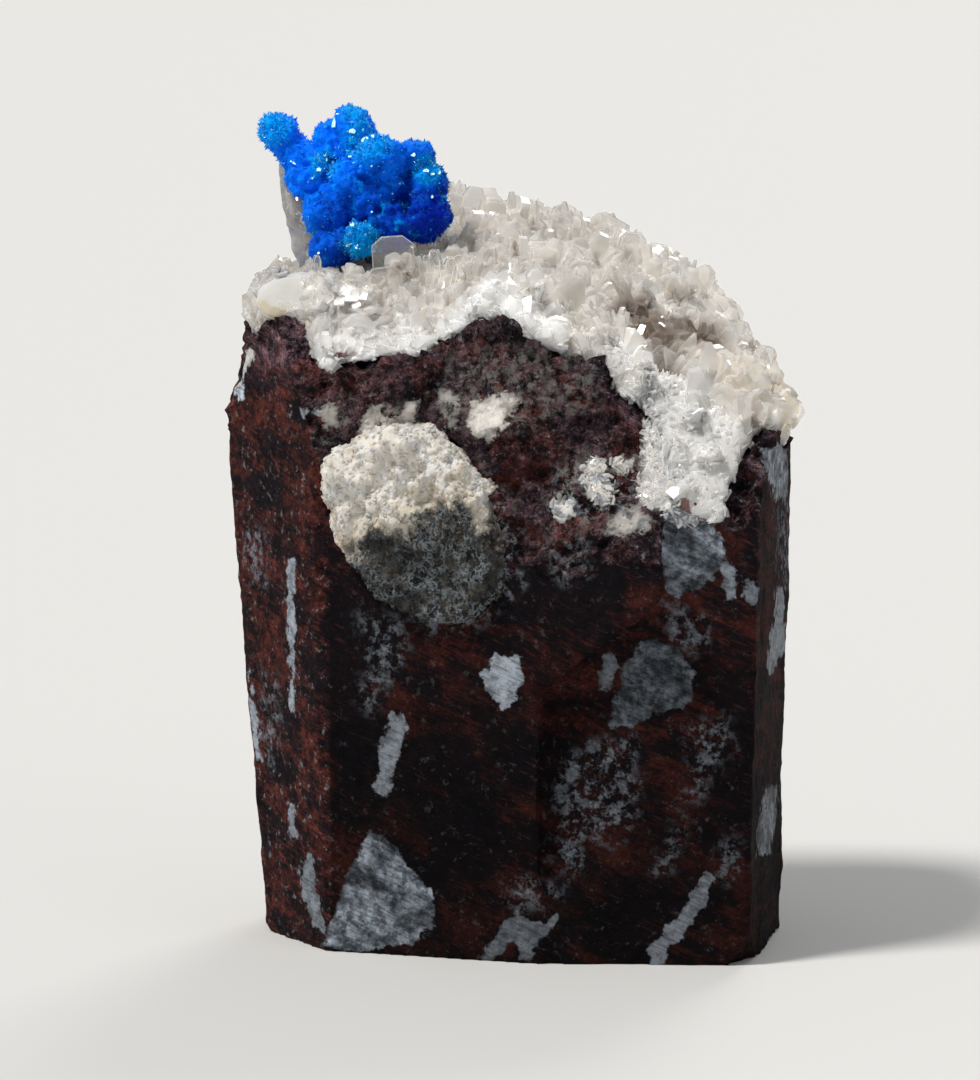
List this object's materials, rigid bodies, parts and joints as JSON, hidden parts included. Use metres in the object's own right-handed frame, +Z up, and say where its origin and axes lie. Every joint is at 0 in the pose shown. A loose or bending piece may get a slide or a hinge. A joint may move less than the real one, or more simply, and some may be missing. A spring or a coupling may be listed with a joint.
{
  "type": "cavansite mineral specimen on matrix",
  "caption": "Upright sawn block of red basalt with a broken, crystal-covered top, a cluster of spiky blue cavansite and a zeolite nodule in its front.",
  "frame": {"origin": "on the flat base, under the middle of the specimen's bounding box", "axes": "+Z is up, from the sawn base to the cavansite; -Y is the display side with the nodule; +X is to the right of a viewer in front"},
  "size_m": [0.0389, 0.0288, 0.0564],
  "materials": {
    "red_basalt": "matte",
    "zeolite_crystal": "gloss",
    "cavansite_blue": "satin",
    "zeolite_massive": "matte"
  },
  "bodies": {
    "root": {"basalt_matrix": "red_basalt", "zeolite_bed": "zeolite_crystal", "cavansite_cluster": "cavansite_blue", "front_nodule": "zeolite_massive"}
  },
  "joints": []
}
